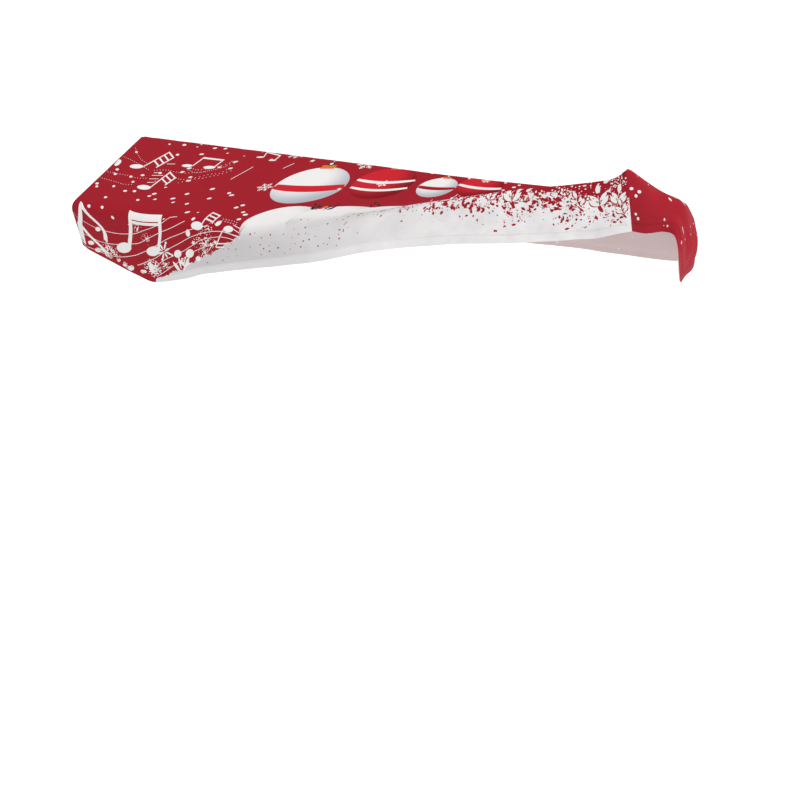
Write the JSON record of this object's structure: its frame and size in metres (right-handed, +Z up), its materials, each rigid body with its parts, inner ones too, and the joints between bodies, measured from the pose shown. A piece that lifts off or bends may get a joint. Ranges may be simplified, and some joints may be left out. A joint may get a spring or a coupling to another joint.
{
  "type": "piano cover",
  "caption": "Fitted stretch-knit dust cover for a keyboard instrument, printed with snow and music notes, its right front corner pushed back.",
  "frame": {"origin": "middle of the underside of the top, where the instrument carries the cover", "axes": "+X along the cover towards the end that is pushed back, +Y from its front to its back, +Z up"},
  "size_m": [1.2691, 0.298, 0.3069],
  "materials": {
    "printed_knit": "matte stretch knit with a red and white winter print",
    "plain_knit": "matte stretch knit, red with small white dots"
  },
  "bodies": {
    "root": {"long_panel": "printed_knit", "left_end_panel": "plain_knit", "right_end_panel": "plain_knit"}
  },
  "joints": []
}
